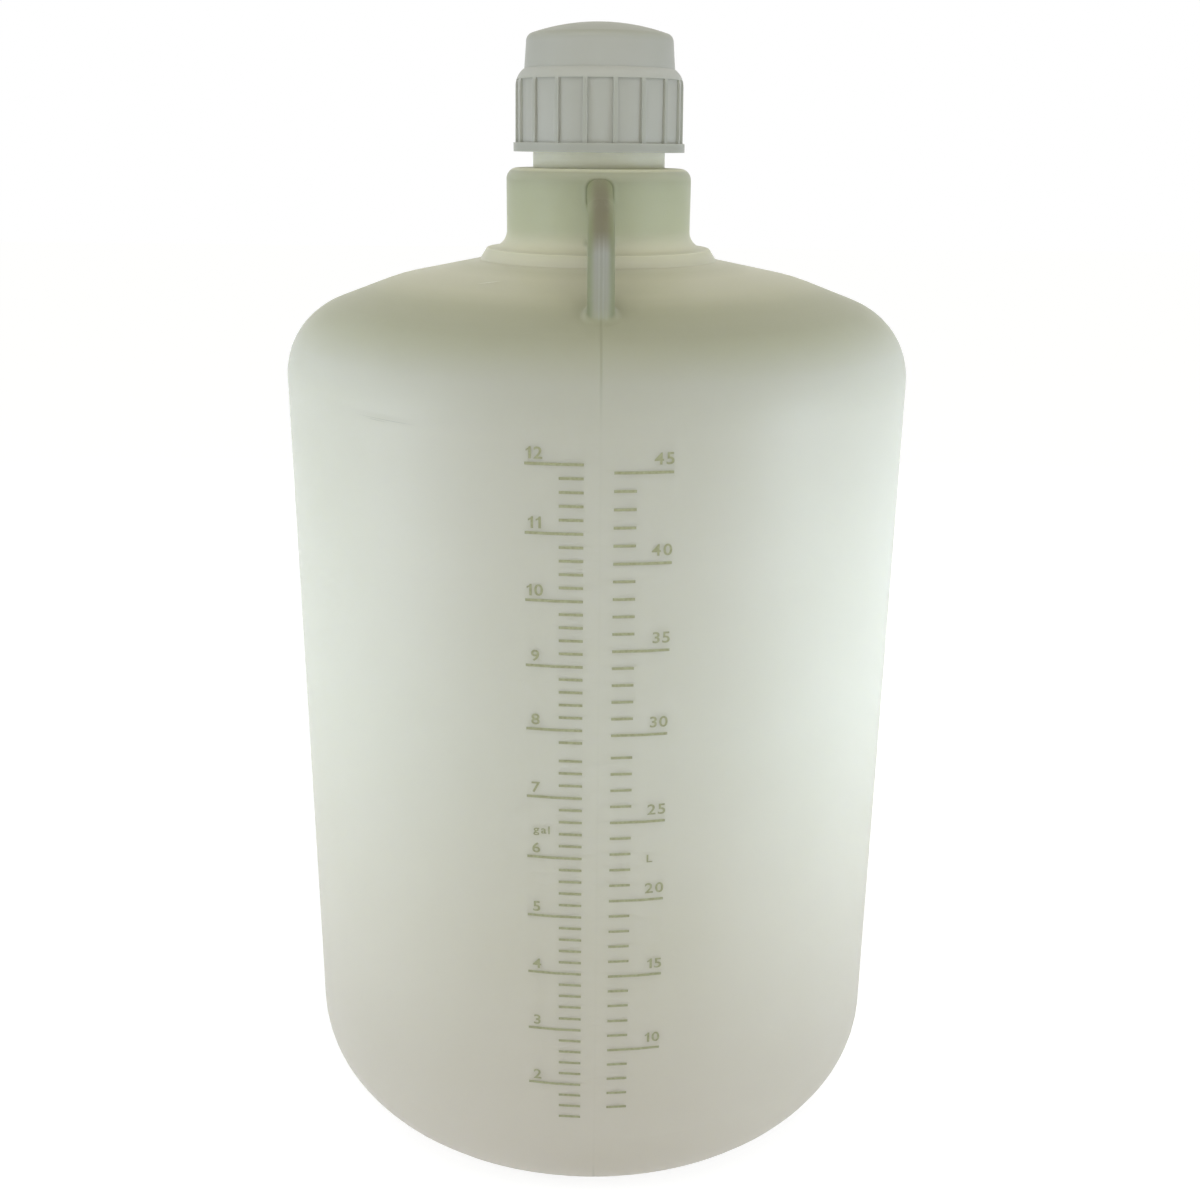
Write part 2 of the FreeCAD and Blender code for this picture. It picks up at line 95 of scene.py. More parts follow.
# %% [markdown]
# ## Writing shaders as sums
# A finish is a network of nodes, and a network drawn by hand is hard to read back. The
# small class below wraps one socket, so that `1 - mask` or `height * 2` adds the Math node
# that it needs. `ease` is the most useful of its methods: it turns a length into a soft
# mask, 0 before one value and 1 after another. Every other node comes from one method,
# `node`, which sets the node's options first and then feeds its sockets with plain values
# or with other wires.


# %% Define the socket wrapper
class Wire:
    """One output of a node, which can be used in sums."""

    def __init__(self, tree, socket):
        self.tree = tree
        self.socket = socket

    def node(self, kind, settings=None, sockets=None, output=0):
        return node(self.tree, kind, settings, sockets, output)

    def math(self, operation, first, second=0.0):
        return self.node("Math", {"operation": operation}, {0: first, 1: second})

    def __add__(self, other):
        return self.math("ADD", self, other)

    def __sub__(self, other):
        return self.math("SUBTRACT", self, other)

    def __mul__(self, other):
        return self.math("MULTIPLY", self, other)

    def __truediv__(self, other):
        return self.math("DIVIDE", self, other)

    def __rsub__(self, other):
        return self.math("SUBTRACT", other, self)

    def __abs__(self):
        return self.math("ABSOLUTE", self)

    __radd__ = __add__
    __rmul__ = __mul__

    def larger(self, other):
        return self.math("MAXIMUM", self, other)

    def root(self):
        return self.math("SQRT", self)

    def wave(self):
        return self.math("SINE", self)

    def ease(self, start, end):
        """0 up to start, 1 from end on, and a soft step between; start may be the larger."""
        limits = {"Value": self, "From Min": start, "From Max": end}
        return self.node("MapRange", {"interpolation_type": "SMOOTHSTEP"}, limits)

    def tint(self, under, over, how="MIX"):
        """Lay one colour over another, as strongly as this mask says."""
        colours = {"Factor": self, 6: under, 7: over}
        return self.node("Mix", {"data_type": "RGBA", "blend_type": how}, colours, output=2)


def node(tree, kind, settings=None, sockets=None, output=0):
    """Add a shader node, set its options, feed its sockets and wrap one output."""
    made = tree.nodes.new("ShaderNode" + kind)
    for name, value in (settings or {}).items():
        if name == "stops":
            set_stops(made.color_ramp, value)
        else:
            setattr(made, name, value)
    for name, value in (sockets or {}).items():
        if isinstance(value, Wire):
            tree.links.new(value.socket, made.inputs[name])
        else:
            made.inputs[name].default_value = value
    return Wire(tree, made.outputs[output] if made.outputs else None)


def set_stops(ramp, stops):
    """Give a colour ramp its stops, each a place from 0 to 1 and a colour."""
    while len(ramp.elements) < len(stops):
        ramp.elements.new(0.5)
    for element, (place, colour) in zip(ramp.elements, stops):
        element.position = place
        element.color = colour


def empty_tree(owner):
    """The cleared node tree of a new material or of the world."""
    owner.use_nodes = True
    owner.node_tree.nodes.clear()
    return owner.node_tree


def shade(red, green, blue):
    """A colour as a screen shows it, 0 to 255, turned into the linear values of a shader."""
    linear = []
    for channel in (red, green, blue):
        part = channel / 255
        linear.append(part / 12.92 if part <= 0.04045 else ((part + 0.055) / 1.055) ** 2.4)
    return (*linear, 1.0)


WHITE = shade(255, 255, 255)
print("white is", WHITE)

# %% [markdown]
# ## The studio
# The bottle stands in a white room. The room must be pure white in the picture and in
# reflections, but if it lit the bottle at that strength, every pale colour would burn out.
# The Light Path node tells the rays apart: those that show the room itself find white, and
# those that light the bottle find a dimmer and slightly warm glow. The floor is treated the
# same way, and keeps a share of its own shading for a soft shadow under the bottle.

# %% Build the room and the floor
ROOM_GLOW = 0.54
ROOM_WARMTH = (1.0, 0.995, 0.935, 1.0)
FLOOR_WIDTH = 16.0
FLOOR_PAPER = 0.9
FLOOR_SHADOW = 0.35


def seen_directly(tree):
    """1 for rays that show the background, in the picture, a reflection or a clear body."""
    camera_ray, glossy_ray, clear_ray = [
        node(tree, "LightPath", output=kind)
        for kind in ("Is Camera Ray", "Is Glossy Ray", "Is Transmission Ray")
    ]
    return camera_ray.larger(glossy_ray).larger(clear_ray)


def build_room():
    world = bpy.data.worlds.new("white_room")
    bpy.context.scene.world = world
    tree = empty_tree(world)
    direct = seen_directly(tree)
    look = {
        "Color": direct.tint(ROOM_WARMTH, WHITE),
        "Strength": direct * (1.0 - ROOM_GLOW) + ROOM_GLOW,
    }
    node(tree, "OutputWorld", sockets={"Surface": node(tree, "Background", sockets=look)})


def mix_floor_paper():
    """White where the light is even, darker only where the bottle takes the light away."""
    paper = bpy.data.materials.new("floor_paper")
    tree = empty_tree(paper)
    grey = (FLOOR_PAPER, FLOOR_PAPER, FLOOR_PAPER, 1.0)
    matt = node(tree, "BsdfDiffuse", sockets={"Color": grey})
    fill = (1.0 - FLOOR_SHADOW * FLOOR_PAPER * ROOM_GLOW) / (1.0 - FLOOR_SHADOW)
    glow = node(tree, "Emission", sockets={"Color": WHITE, "Strength": fill})
    whiten = seen_directly(tree) * (1.0 - FLOOR_SHADOW)
    mixed = node(tree, "MixShader", sockets={0: whiten, 1: matt, 2: glow})
    node(tree, "OutputMaterial", sockets={"Surface": mixed})
    return paper


def build_floor():
    mesh = bpy.data.meshes.new("studio_floor")
    half = FLOOR_WIDTH / 2
    corners = [(-half, -half, 0), (half, -half, 0), (half, half, 0), (-half, half, 0)]
    mesh.from_pydata(corners, [], [(0, 1, 2, 3)])
    mesh.materials.append(mix_floor_paper())
    floor = bpy.data.objects.new("studio_floor", mesh)
    bpy.context.scene.collection.objects.link(floor)


build_room()
build_floor()
print("room glow:", ROOM_GLOW)

# %% [markdown]
# ## The lamps
# Most of the light is the room's, and it reaches the bottle from everywhere. Five soft
# boxes add to it. Two small cool ones stand close beside the flanks and make them glow, as
# a window does through milky plastic. A grid keeps their beam narrow, so that the cap and
# the foot stay calm; in Blender that is the lamp's spread. A long low box in front lifts
# the printed face, a like one the back, and one overhead the shoulder. Their power is
# chosen so that a colour in a finish shows about as it is written.

# %% Hang the lamps
AIM = Vector((0.0, 0.0, 0.32))
WIDE, NARROW = math.radians(180), math.radians(75)
LAMPS = [
    ("left_box", (-0.75, -0.33, 0.40), (0.30, 0.45), 0.78, NARROW, (0.77, 0.86, 1.0)),
    ("right_box", (0.69, -0.33, 0.36), (0.26, 0.32), 0.74, NARROW, (0.75, 0.85, 1.0)),
    ("front_box", (0.0, -1.90, 0.15), (1.60, 0.50), 4.2, WIDE, (1.0, 0.98, 0.96)),
    ("back_box", (0.0, 1.90, 0.40), (1.60, 0.80), 4.0, WIDE, (1.0, 0.98, 0.96)),
    ("top_box", (0.0, -0.65, 1.55), (1.40, 0.90), 6.2, WIDE, (1.0, 0.98, 0.95)),
]


def hang_lamp(name, place, size, power, spread, colour):
    data = bpy.data.lights.new(name, "AREA")
    data.shape = "RECTANGLE"
    data.size, data.size_y = size
    data.energy = power
    data.spread = spread
    data.color = colour
    lamp = bpy.data.objects.new(name, data)
    lamp.location = place
    lamp.rotation_euler = (AIM - Vector(place)).to_track_quat("-Z", "Y").to_euler()
    bpy.context.scene.collection.objects.link(lamp)


for lamp_facts in LAMPS:
    hang_lamp(*lamp_facts)
print("lamps:", len(LAMPS))

# %% [markdown]
# ## Finding the wall
# Tints, print and seams all have to know where the wall runs, and it leans and curves.
# Instead of working the wall out again, a ray is shot at the vessel from outside, and the
# place where it strikes can be lifted by a hair. Whatever is drawn this way fits the solid
# exactly, and a height or a slope can be read off it as with a gauge.

# %% Shoot rays at the vessel
OUTSIDE = 0.6
ABOVE = 1.0
vessel_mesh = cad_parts["vessel"].data
vessel_skin = BVHTree.FromPolygons(
    [vertex.co for vertex in vessel_mesh.vertices],
    [tuple(polygon.vertices) for polygon in vessel_mesh.polygons],
)


def strike(origin, direction, lift):
    """Where a ray first meets the vessel, raised from its surface by lift."""
    place, normal, _, _ = vessel_skin.ray_cast(origin, direction)
    if normal.dot(direction) > 0:
        normal = -normal
    return place + normal * lift


def on_wall(azimuth, height, lift):
    """A place on the outside; azimuth runs from the front, -Y, towards +X."""
    outward = Vector((math.sin(azimuth), -math.cos(azimuth), 0.0))
    return strike(outward * OUTSIDE + Vector((0, 0, height)), -outward, lift)


def gauge_from_above(radius):
    """The height of the outside at a radius, away from the handles, in millimetres."""
    return strike(Vector((radius * MM, 0, ABOVE)), Vector((0, 0, -1)), 0.0).z / MM


wall_radius = on_wall(0.0, 0.25, 0.0).xy.length
print("wall radius:", round(wall_radius / MM, 1), "mm")
print("shoulder heights:", [round(gauge_from_above(radius), 1) for radius in (80, 110, 122, 150)])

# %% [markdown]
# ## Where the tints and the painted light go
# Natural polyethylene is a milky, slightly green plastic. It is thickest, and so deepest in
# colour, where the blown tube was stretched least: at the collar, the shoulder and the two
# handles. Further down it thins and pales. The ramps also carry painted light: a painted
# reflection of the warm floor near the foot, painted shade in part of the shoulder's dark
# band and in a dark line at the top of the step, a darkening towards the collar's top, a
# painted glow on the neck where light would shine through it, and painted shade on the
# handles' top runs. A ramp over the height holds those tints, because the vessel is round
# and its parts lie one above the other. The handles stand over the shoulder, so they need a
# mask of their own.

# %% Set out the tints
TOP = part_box("cap")[1].z / MM
VESSEL_TINTS_AND_PAINTED_LIGHT = [
    # painted reflection of the warm floor, near the foot
    (0, shade(211, 204, 191)),
    (90, shade(208, 203, 187)),
    (180, shade(208, 205, 187)),
    (300, shade(209, 209, 191)),
    (400, shade(206, 206, 189)),
    (470, shade(200, 200, 184)),
    # partly the plastic's own olive, partly painted shade: the dark band on the shoulder
    (495, shade(184, 185, 171)),
    (510, shade(168, 169, 149)),
    (518, shade(160, 161, 138)),
    (526, shade(163, 163, 138)),
    (532, shade(182, 181, 155)),
    (538, shade(192, 190, 165)),
    (541, shade(184, 183, 158)),
    (543, shade(194, 192, 170)),
    (547.5, shade(192, 190, 169)),
    # painted shade: a dark line at the top of the step
    (548.6, shade(184, 183, 160)),
    (549.1, shade(148, 150, 121)),
    (549.7, shade(156, 158, 130)),
    (551, shade(202, 200, 175)),
    (562, shade(179, 182, 153)),
    (584, shade(172, 176, 149)),
    # darker towards the collar's top
    (591, shade(158, 160, 139)),
    (594.4, shade(154, 156, 136)),
    # painted light: the neck is tinted near white for light that would shine through it
    (595.4, shade(247, 246, 212)),
]
# deeper olive on the solid bar, and painted shade darkening its top run from 566 mm up
HANDLE_TINTS_AND_PAINTED_SHADE = [
    (520, shade(168, 170, 148)),
    (530, shade(152, 153, 142)),
    (556, shade(150, 151, 146)),
    (566, shade(118, 115, 96)),
    (584, shade(113, 110, 89)),
    (590, shade(128, 128, 104)),
]


def ruler(tree):
    """How far a point lies to the right, to the back and up, in millimetres."""
    split = node(tree, "SeparateXYZ", sockets={0: node(tree, "TexCoord", output="Object")})
    return [Wire(tree, split.socket.node.outputs[axis]) / MM for axis in "XYZ"]


def tint_by_height(height, tints):
    """A colour ramp whose stops are given as heights in millimetres."""
    stops = [(place / TOP, colour) for place, colour in tints]
    return height.node("ValToRGB", {"stops": stops}, {"Fac": height / TOP})


print("stops:", len(VESSEL_TINTS_AND_PAINTED_LIGHT), "for the vessel,", len(HANDLE_TINTS_AND_PAINTED_SHADE), "for the handles")

# %% [markdown]
# ## Finding the handles
# A handle is a narrow bar in the middle plane. A point belongs to it when it is near that
# plane, outside the collar, above the shoulder and clear of the step at the collar's foot.
# The shoulder has two slopes, and the lower of two straight lines follows both. Their
# heights are gauged from the solid.

# %% Mask the handles
SLOPES_MEET = 121.8
NEAR_GAUGE = 90.0
FAR_GAUGE = 145.0
HANDLE_HALF = 7.0
COLLAR_RADIUS = 54.5
STEP_RADIUS = 70.8
OVER_STEP = 552.0


def shoulder_line(radius):
    """The height of the shoulder under a point, from its two slopes."""
    meeting = gauge_from_above(SLOPES_MEET)
    inner = (gauge_from_above(NEAR_GAUGE) - meeting) / (SLOPES_MEET - NEAR_GAUGE)
    outer = (meeting - gauge_from_above(FAR_GAUGE)) / (FAR_GAUGE - SLOPES_MEET)
    beyond = radius - SLOPES_MEET
    return meeting - (beyond * inner).larger(beyond * outer)


def handle_mask(across, along, height):
    """1 on the two handles and 0 elsewhere, fading over their roots."""
    radius = (across * across + along * along).root()
    near_plane = abs(across).ease(HANDLE_HALF + 3.5, HANDLE_HALF - 0.2)
    past_collar = radius.ease(COLLAR_RADIUS - 0.3, COLLAR_RADIUS + 1.6)
    off_shoulder = (height - shoulder_line(radius)).ease(0.5, 4.0)
    past_step = radius.ease(STEP_RADIUS + 1.0, STEP_RADIUS + 4.0)
    off_step = past_step.larger(height.ease(OVER_STEP, OVER_STEP + 5.0))
    return near_plane * past_collar * off_shoulder * off_step


print("shoulder slopes meet at", round(gauge_from_above(SLOPES_MEET), 1), "mm")

# %% [markdown]
# ## The marks of the mould
# A blown bottle is cast in two halves that close on the middle plane, so a fine ridge runs
# down the neck, along both handles and over the shoulder, and comes back under the base,
# where the tube was pinched off. On the handles the pinch leaves two lines side by side,
# drawn only as a painted highlight on the low legs. The neck is shaped by turned rings, which
# leave faint level lines. None of this is deep enough to model: the seam is a mask that both
# tints the plastic and lifts it in the bump, and the neck's lines only lift it.

# %% Draw the mould's marks
SEAM_HALF = 0.5
PINCH_APART = 1.1
NECK_LINE_PITCH = 2.6
SEAM_COMES, SEAM_GOES, SEAM_UNDER = (470.0, 512.0), (590.0, 560.0), (40.0, 12.0)


def seam_mask(across, height):
    """The parting ridge: clear on the shoulder and the base, all but gone on the wall."""
    line = abs(across).ease(SEAM_HALF + 0.5, SEAM_HALF - 0.3)
    clear = height.ease(*SEAM_COMES) * height.ease(*SEAM_GOES) + height.ease(*SEAM_UNDER)
    return line * (clear * 0.7 + 0.05)


def pinch_mask(across):
    """The two lines that run along a handle, where a painted highlight goes."""
    return abs(abs(across) - PINCH_APART).ease(SEAM_HALF + 0.3, 0.1)


def neck_lines(height):
    """Level rings round the neck and the collar's top, from the mould's turned insert."""
    wave = (height * (2.0 * math.pi / NECK_LINE_PITCH)).wave()
    return wave * height.ease(592.0, 597.0)


print("seam:", 2 * SEAM_HALF, "mm wide; neck lines every", NECK_LINE_PITCH, "mm")

# %% [markdown]
# ## The vessel's plastic
# The tints, the handles and the marks now come together in one material. Slow clouds in the
# tint stand for the uneven thickness of a blown wall. The bump has three layers: slow swells
# of a fraction of a millimetre, a fine frosted grain and the mould's ridges. Light that
# soaks into the wall and leaves it nearby is subsurface scattering, and it is what separates
# plastic from painted clay. The surface is frosted, so its gloss is low.

# %% Mix the vessel's plastic
CLOUD_TINT = shade(246, 247, 243)
SEAM_TINT = shade(120, 124, 96)
# painted highlight along the handles' pinch lines
PAINTED_PINCH_HIGHLIGHT = shade(172, 176, 168)
# painted shade for the handles' rounded sides
PAINTED_HANDLE_EDGE_SHADE = shade(120, 125, 93)
SWELL_DEPTH, FROST_DEPTH = 0.5 * MM, 0.03 * MM
RIDGE_DEPTH, NECK_LINE_DEPTH = 0.18 * MM, 0.02 * MM


def vessel_colour(across, along, height, place):
    """The plastic's colour from its height, thickness and seams, with painted shade and
    highlights.
    """
    grip = handle_mask(across, along, height)
    # painted shade: the bar darkens towards its two rounded sides
    edge_shade_mask = abs(across).ease(HANDLE_HALF - 4.6, HANDLE_HALF - 1.0)
    bar = (edge_shade_mask * 0.8).tint(tint_by_height(height, HANDLE_TINTS_AND_PAINTED_SHADE), PAINTED_HANDLE_EDGE_SHADE)
    # painted highlight: pale pinch lines on the low leg, with no ridge in the bump
    low_leg = height.ease(568.0, 556.0)
    bar = (pinch_mask(across) * low_leg * 0.28).tint(bar, PAINTED_PINCH_HIGHLIGHT)
    # the height ramp, with its painted shade, painted reflection and painted glow
    body = tint_by_height(height, VESSEL_TINTS_AND_PAINTED_LIGHT)
    seam = seam_mask(across, height)
    cloud = place.node("TexNoise", sockets={"Vector": place, "Scale": 9.0, "Detail": 3.0})
    plain = grip.tint((seam * 0.35).tint(body, SEAM_TINT), bar)
    return cloud.tint(plain, CLOUD_TINT, "MULTIPLY")


def vessel_relief(across, height, place, grain):
    """How far the surface stands out, in metres."""
    swell = place.node("TexNoise", sockets={"Vector": place, "Scale": 14.0, "Detail": 1.0})
    ridge = seam_mask(across, height) * RIDGE_DEPTH + neck_lines(height) * NECK_LINE_DEPTH
    return swell * SWELL_DEPTH + grain * FROST_DEPTH + ridge


def mix_vessel_plastic():
    plastic = bpy.data.materials.new("vessel_plastic")
    tree = empty_tree(plastic)
    place = node(tree, "TexCoord", output="Object")
    across, along, height = ruler(tree)
    grain = node(tree, "TexNoise", sockets={"Vector": place, "Scale": 900.0, "Detail": 2.0})
    relief = vessel_relief(across, height, place, grain)
    bump = node(tree, "Bump", sockets={"Strength": 1.0, "Distance": 1.0, "Height": relief})
    look = {
        "Base Color": vessel_colour(across, along, height, place),
        "Roughness": grain * 0.10 + 0.42,
        "IOR": 1.5,
        "Specular IOR Level": 0.16,
        "Subsurface Weight": 0.7,
        "Subsurface Radius": (1.0, 1.0, 0.85),
        "Subsurface Scale": 0.02,
        "Normal": bump,
    }
    surface = node(tree, "BsdfPrincipled", sockets=look)
    node(tree, "OutputMaterial", sockets={"Surface": surface})
    return plastic


def wear(name, finish):
    """Give a solid one finish in all its material slots."""
    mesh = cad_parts[name].data
    mesh.materials.clear()
    mesh.materials.append(finish)


wear("vessel", mix_vessel_plastic())
print("the vessel wears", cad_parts["vessel"].data.materials[0].name)

# %% [markdown]
# ## The cap and its washer
# The cap is moulded from a harder, greyer plastic than the vessel, so less light soaks in
# and the ribs stay crisp. Its dome shows a faint ring where the mould's core began. Painted
# shade darkens the dome and the tops of the ribs, which the lamps would leave too pale. The
# washer inside it is a pale foam that only shows once the cap is off. Both finishes come
# from one function with different numbers.

# %% Mix the cap's plastic and the foam
# painted shade for the cap's dome
PAINTED_DOME_SHADE = shade(158, 159, 147)
DOME_FOOT = TOP - 9.0
DOME_RING = 27.0
DOME_RING_DEPTH = 0.12 * MM
# painted shade for the tops of the cap's ribs
PAINTED_RIB_TOP_SHADE = shade(150, 152, 143)
RIB_FOOT, RIB_TOP = 47.6, 48.8


def dome_ring(radius, height):
    """A fine ring on top of the cap, and nothing on anything lower."""
    return abs(radius - DOME_RING).ease(0.9, 0.2) * height.ease(DOME_FOOT - 1.0, DOME_FOOT)


def cap_colour(radius, height, tint):
    """The tint, with painted shade on the dome and on the rib tops, which would look too pale."""
    dome = height.ease(DOME_FOOT - 3.0, DOME_FOOT + 3.0)
    ribs = radius.ease(RIB_FOOT, RIB_TOP) * height.ease(DOME_FOOT - 10.0, DOME_FOOT - 20.0)
    # painted shade laid on the rib tops and the dome
    return (ribs * 0.5).tint(dome.tint(tint, PAINTED_DOME_SHADE), PAINTED_RIB_TOP_SHADE)


def mix_plain_plastic(name, tint, roughness, soak, reach, grain_scale):
    """A moulded plastic with a tint, painted shade at the cap's dome and rib tops, a fine grain
    and a given depth of scattering.
    """
    plastic = bpy.data.materials.new(name)
    tree = empty_tree(plastic)
    place = node(tree, "TexCoord", output="Object")
    cloud = node(tree, "TexNoise", sockets={"Vector": place, "Scale": 30.0, "Detail": 3.0})
    grain = node(tree, "TexNoise", sockets={"Vector": place, "Scale": grain_scale, "Detail": 2.0})
    across, along, height = ruler(tree)
    radius = (across * across + along * along).root()
    relief = grain * FROST_DEPTH + dome_ring(radius, height) * DOME_RING_DEPTH
    bump = node(tree, "Bump", sockets={"Strength": 1.0, "Distance": 1.0, "Height": relief})
    look = {
        "Base Color": cloud.tint(cap_colour(radius, height, tint), CLOUD_TINT, "MULTIPLY"),
        "Roughness": grain * 0.12 + roughness,
        "Specular IOR Level": 0.25,
        "Subsurface Weight": soak,
        "Subsurface Radius": (1.0, 1.0, 0.9),
        "Subsurface Scale": reach,
        "Normal": bump,
    }
    surface = node(tree, "BsdfPrincipled", sockets=look)
    node(tree, "OutputMaterial", sockets={"Surface": surface})
    return plastic


wear("cap", mix_plain_plastic("cap_plastic", shade(175, 176, 169), 0.40, 0.50, 0.006, 1100.0))
wear("seal_ring", mix_plain_plastic("seal_foam", shade(226, 226, 220), 0.70, 0.20, 0.002, 2400.0))
print("finishes:", [material.name for material in bpy.data.materials])

# %% [markdown]
# ## Strokes on the wall
# The scale's strokes and a few scuffs are thin strips bent to the wall. A strip goes from
# one place to another, each given by its azimuth and its height, in steps small enough to
# follow the curve, and every corner is laid on the wall by a ray. A printed stroke keeps
# its width, and a scuff tapers to nothing at both ends.

# %% Lay strips on the wall
PRINT_LIFT = 0.08 * MM
STRIP_STEP = 2.5 * MM
FEWEST_STEPS = 4
BLUNT_END = 0.02


def strip(mesh, start, end, width, tapered=False):
    """Add a strip between two places, each an azimuth and a height."""
    steps = max(FEWEST_STEPS, round(abs(end[0] - start[0]) * wall_radius / STRIP_STEP))
    rows = []
    for step in range(steps + 1):
        share = step / steps
        azimuth = start[0] + (end[0] - start[0]) * share
        height = start[1] + (end[1] - start[1]) * share
        half = width / 2 * (math.sin(math.pi * share) + BLUNT_END if tapered else 1.0)
        edges = [on_wall(azimuth, height + side * half, PRINT_LIFT) for side in (-1, 1)]
        rows.append([mesh.verts.new(place) for place in edges])
    for (low, high), (next_low, next_high) in zip(rows, rows[1:]):
        mesh.faces.new((low, next_low, next_high, high))


def finish_piece(name, mesh, finish):
    """Turn a bmesh into an object that wears a finish and rides on the vessel."""
    data = bpy.data.meshes.new(name)
    mesh.to_mesh(data)
    mesh.free()
    piece = bpy.data.objects.new(name, data)
    bpy.context.scene.collection.objects.link(piece)
    data.materials.append(finish)
    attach(piece, "vessel")
    return piece


def mix_speckled(name, dark, light, roughness):
    """A thin matt layer on the plastic, speckled between two tints."""
    layer = bpy.data.materials.new(name)
    tree = empty_tree(layer)
    place = node(tree, "TexCoord", output="Object")
    speckle = node(tree, "TexNoise", sockets={"Vector": place, "Scale": 700.0, "Detail": 3.0})
    tint = node(tree, "ValToRGB", {"stops": [(0.30, dark), (0.75, light)]}, {"Fac": speckle})
    look = {"Base Color": tint, "Roughness": speckle * 0.2 + roughness, "Specular IOR Level": 0.2}
    surface = node(tree, "BsdfPrincipled", sockets=look)
    node(tree, "OutputMaterial", sockets={"Surface": surface})
    return layer


# %% [markdown]
# ## The filling scale
# Two scales are printed on the front, gallons on the left and litres on the right. Each is
# a ladder of strokes with a long one at every gallon or every fifth litre. The gallon's
# short strokes stand a fifth of a gallon apart. Volume climbs evenly with height,
# because the wall is straight. The screen that printed it was shorter than the scale, so it
# was set down three times, and small steps in height show where one print ends and the next
# begins.

# %% Print the strokes
GALLON = 3.7854
STROKE = 1.5 * MM
GALLON_FIFTHS, LITRES, LONG_EVERY = range(7, 61), range(6, 46), 5
PRINTS = [(0.0, 21.3, 9.62), (12.5, 141.9, 9.52), (29.3, 305.2, 9.43)]
LEFT_OUTER, LEFT_SHORT, LEFT_INNER = (math.radians(a) for a in (-11.76, -6.40, -2.55))
RIGHT_INNER, RIGHT_SHORT, RIGHT_OUTER = (math.radians(a) for a in (2.11, 5.65, 11.40))


def height_of(litres):
    """Where a volume is printed; each print has its first litre, its height and its rise."""
    first, height, rise = [each for each in PRINTS if each[0] <= litres][-1]
    return (height + (litres - first) * rise) * MM


def ladder(name, strokes, finish):
    """One object that holds all the strokes of a scale."""
    mesh = bmesh.new()
    for start, end, height in strokes:
        strip(mesh, (start, height), (end, height), STROKE)
    return finish_piece(name, mesh, finish)


scale_ink = mix_speckled("scale_ink", shade(140, 142, 108), shade(166, 168, 136), 0.5)
gallon_strokes = []
for fifth in GALLON_FIFTHS:
    outer = LEFT_OUTER if fifth % LONG_EVERY == 0 else LEFT_SHORT
    gallon_strokes.append((outer, LEFT_INNER, height_of(fifth / 5 * GALLON)))
litre_strokes = []
for litre in LITRES:
    outer = RIGHT_OUTER if litre % LONG_EVERY == 0 else RIGHT_SHORT
    litre_strokes.append((RIGHT_INNER, outer, height_of(litre)))
ladder("gallon_strokes", gallon_strokes, scale_ink)
ladder("litre_strokes", litre_strokes, scale_ink)
print("strokes:", len(gallon_strokes), "and", len(litre_strokes))

# %% [markdown]
# ## The numerals
# A text object gives the shape of each numeral but the 1, which is drawn as one
# outline in shares of its height. Each character becomes a flat mesh at its printed size,
# and its corners are then laid on the wall by rays, as the strokes were. The left numbers
# are centred a little inside the outer end of their stroke, and the right ones end there.
# Plain unit signs say which ladder is which; their small letters are shorter than a
# numeral, and the tail of the g hangs under the line.

# %% Print the numerals and the units
LEFT_GAP, RIGHT_GAP = 2.4 * MM, 3.9 * MM
NUMERAL_HEIGHT = 6.2 * MM
UNIT_HEIGHT = 4.6 * MM
BOLD = 0.016
LETTER_STRETCH = 1.14
LETTER_GAP = 0.20
SHORT_LETTERS = "ga"
TAIL_DROP = 0.28
TYPE_HEIGHT = 0.72
LEFT_INSET = 5.0 * MM
LEFT_NUMBERS = LEFT_OUTER + LEFT_INSET / wall_radius
UNIT_SIGNS = [("gal", math.radians(-9.3), 24.2), ("L", math.radians(8.9), 22.4)]
ONE_STEM = [(0.23, 0), (0.42, 0), (0.42, 1), (0.28, 1)]
ONE_FLAG = [(0.21, 0.87), (0.04, 0.77), (0.04, 0.62), (0.23, 0.72)]


def typed(character):
    """A flat mesh of one character of Blender's own typeface."""
    curve = bpy.data.curves.new("type", "FONT")
    curve.body = character
    curve.offset = BOLD
    curve.resolution_u = 6
    holder = bpy.data.objects.new("type", curve)
    bpy.context.scene.collection.objects.link(holder)
    seen = holder.evaluated_get(bpy.context.evaluated_depsgraph_get())
    flat = bpy.data.meshes.new_from_object(seen)
    bpy.data.objects.remove(holder)
    bpy.data.curves.remove(curve)
    return flat


def drawn_one():
    """The numeral 1 with a flag, which that typeface doesn't have."""
    flat = bpy.data.meshes.new("one")
    corners = [(x, y, 0) for x, y in ONE_STEM + ONE_FLAG]
    flat.from_pydata(corners, [], [range(len(corners))])
    return flat


def set_size(flat, height, full_height):
    """Bring a character to the origin and to its printed size; the width comes back."""
    left, foot = [min(vertex.co[axis] for vertex in flat.vertices) for axis in (0, 1)]
    size = Matrix.Diagonal((height / full_height * LETTER_STRETCH, height / full_height, 1, 1))
    flat.transform(size @ Matrix.Translation((-left, -foot, 0)))
    return max(vertex.co.x for vertex in flat.vertices)


def lay_on_wall(mesh, flat, azimuth, height):
    """Lay a flat character on the wall, its low left corner at a place."""
    corners = []
    for vertex in flat.vertices:
        place = on_wall(azimuth + vertex.co.x / wall_radius, height + vertex.co.y, PRINT_LIFT)
        corners.append(mesh.verts.new(place))
    for polygon in flat.polygons:
        mesh.faces.new([corners[index] for index in polygon.vertices])
    bpy.data.meshes.remove(flat)


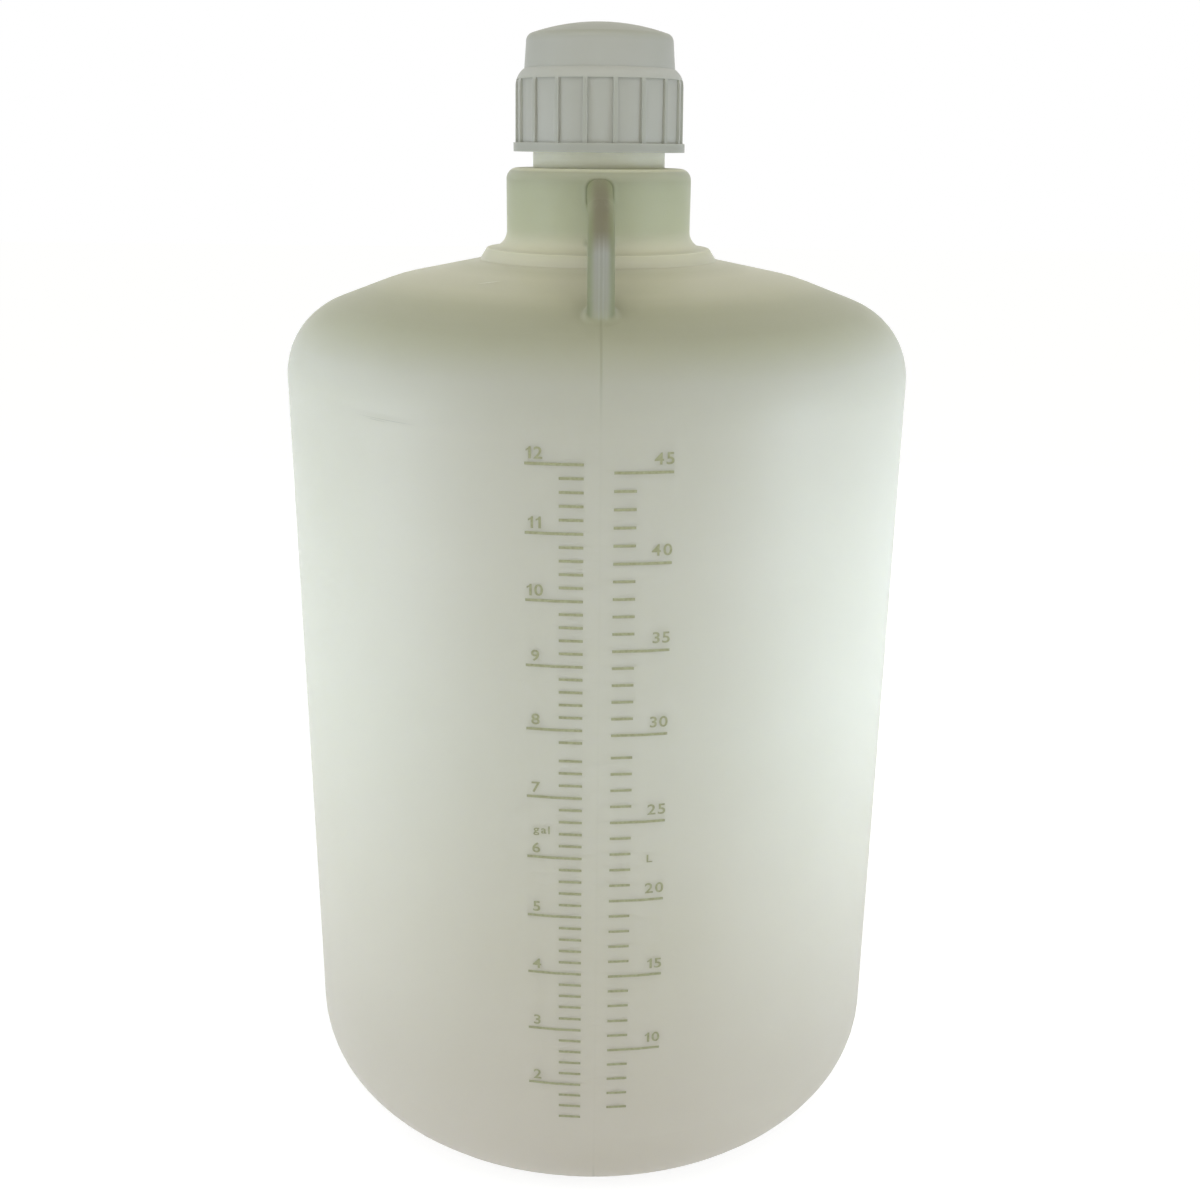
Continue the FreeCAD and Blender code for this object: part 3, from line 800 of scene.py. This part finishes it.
def print_text(mesh, text, azimuth, height, size, align):
    """Print a text; align is the share of its width that lies left of the azimuth."""
    pieces = []
    width = -LETTER_GAP * size
    for character in text:
        flat = drawn_one() if character == "1" else typed(character)
        low, high = [pick(vertex.co.y for vertex in flat.vertices) for pick in (min, max)]
        drop = TAIL_DROP * size if character == "g" else 0.0
        pieces.append((flat, width + LETTER_GAP * size, drop))
        short = character in SHORT_LETTERS
        letter_size = size * (high - low) / TYPE_HEIGHT if short else size
        width += LETTER_GAP * size + set_size(flat, letter_size, high - low)
    start = azimuth - align * width / wall_radius
    for flat, advance, drop in pieces:
        lay_on_wall(mesh, flat, start + advance / wall_radius, height - drop)


numerals = bmesh.new()
for gallons in range(2, 13):
    foot = height_of(gallons * GALLON) + LEFT_GAP
    print_text(numerals, str(gallons), LEFT_NUMBERS, foot, NUMERAL_HEIGHT, 0.5)
for litres in range(10, 46, 5):
    foot = height_of(litres) + RIGHT_GAP
    print_text(numerals, str(litres), RIGHT_OUTER, foot, NUMERAL_HEIGHT, 1.0)
for sign, azimuth, litres in UNIT_SIGNS:
    print_text(numerals, sign, azimuth, height_of(litres), UNIT_HEIGHT, 0.5)
finish_piece("scale_numerals", numerals, scale_ink)
print("numerals printed")

# %% [markdown]
# ## Scuffs
# The bottle is nearly new, with only a few rubs: a pale one on the left of the shoulder and
# a pair of thin dark ones where the shoulder turns into the wall.

# %% Rub the shoulder
SCUFF_WIDTH = 0.35 * MM
PALE_SCUFFS = [((-38.7, 535.0), (-32.7, 536.6))]
DARK_SCUFFS = [((-42.7, 472.7), (-30.3, 471.7)), ((-41.0, 471.8), (-35.8, 471.1))]


def rub(name, scuffs, finish):
    """One object that holds all the scuffs of a kind."""
    mesh = bmesh.new()
    for ends in scuffs:
        start, end = [(math.radians(azimuth), height * MM) for azimuth, height in ends]
        strip(mesh, start, end, SCUFF_WIDTH, tapered=True)
    return finish_piece(name, mesh, finish)


rubbed_pale = mix_speckled("rubbed_pale", shade(206, 208, 190), shade(216, 217, 202), 0.6)
rubbed_dark = mix_speckled("rubbed_dark", shade(176, 178, 163), shade(186, 188, 172), 0.6)
rub("pale_scuffs", PALE_SCUFFS, rubbed_pale)
rub("dark_scuffs", DARK_SCUFFS, rubbed_dark)
print("scuffs:", len(PALE_SCUFFS) + len(DARK_SCUFFS))
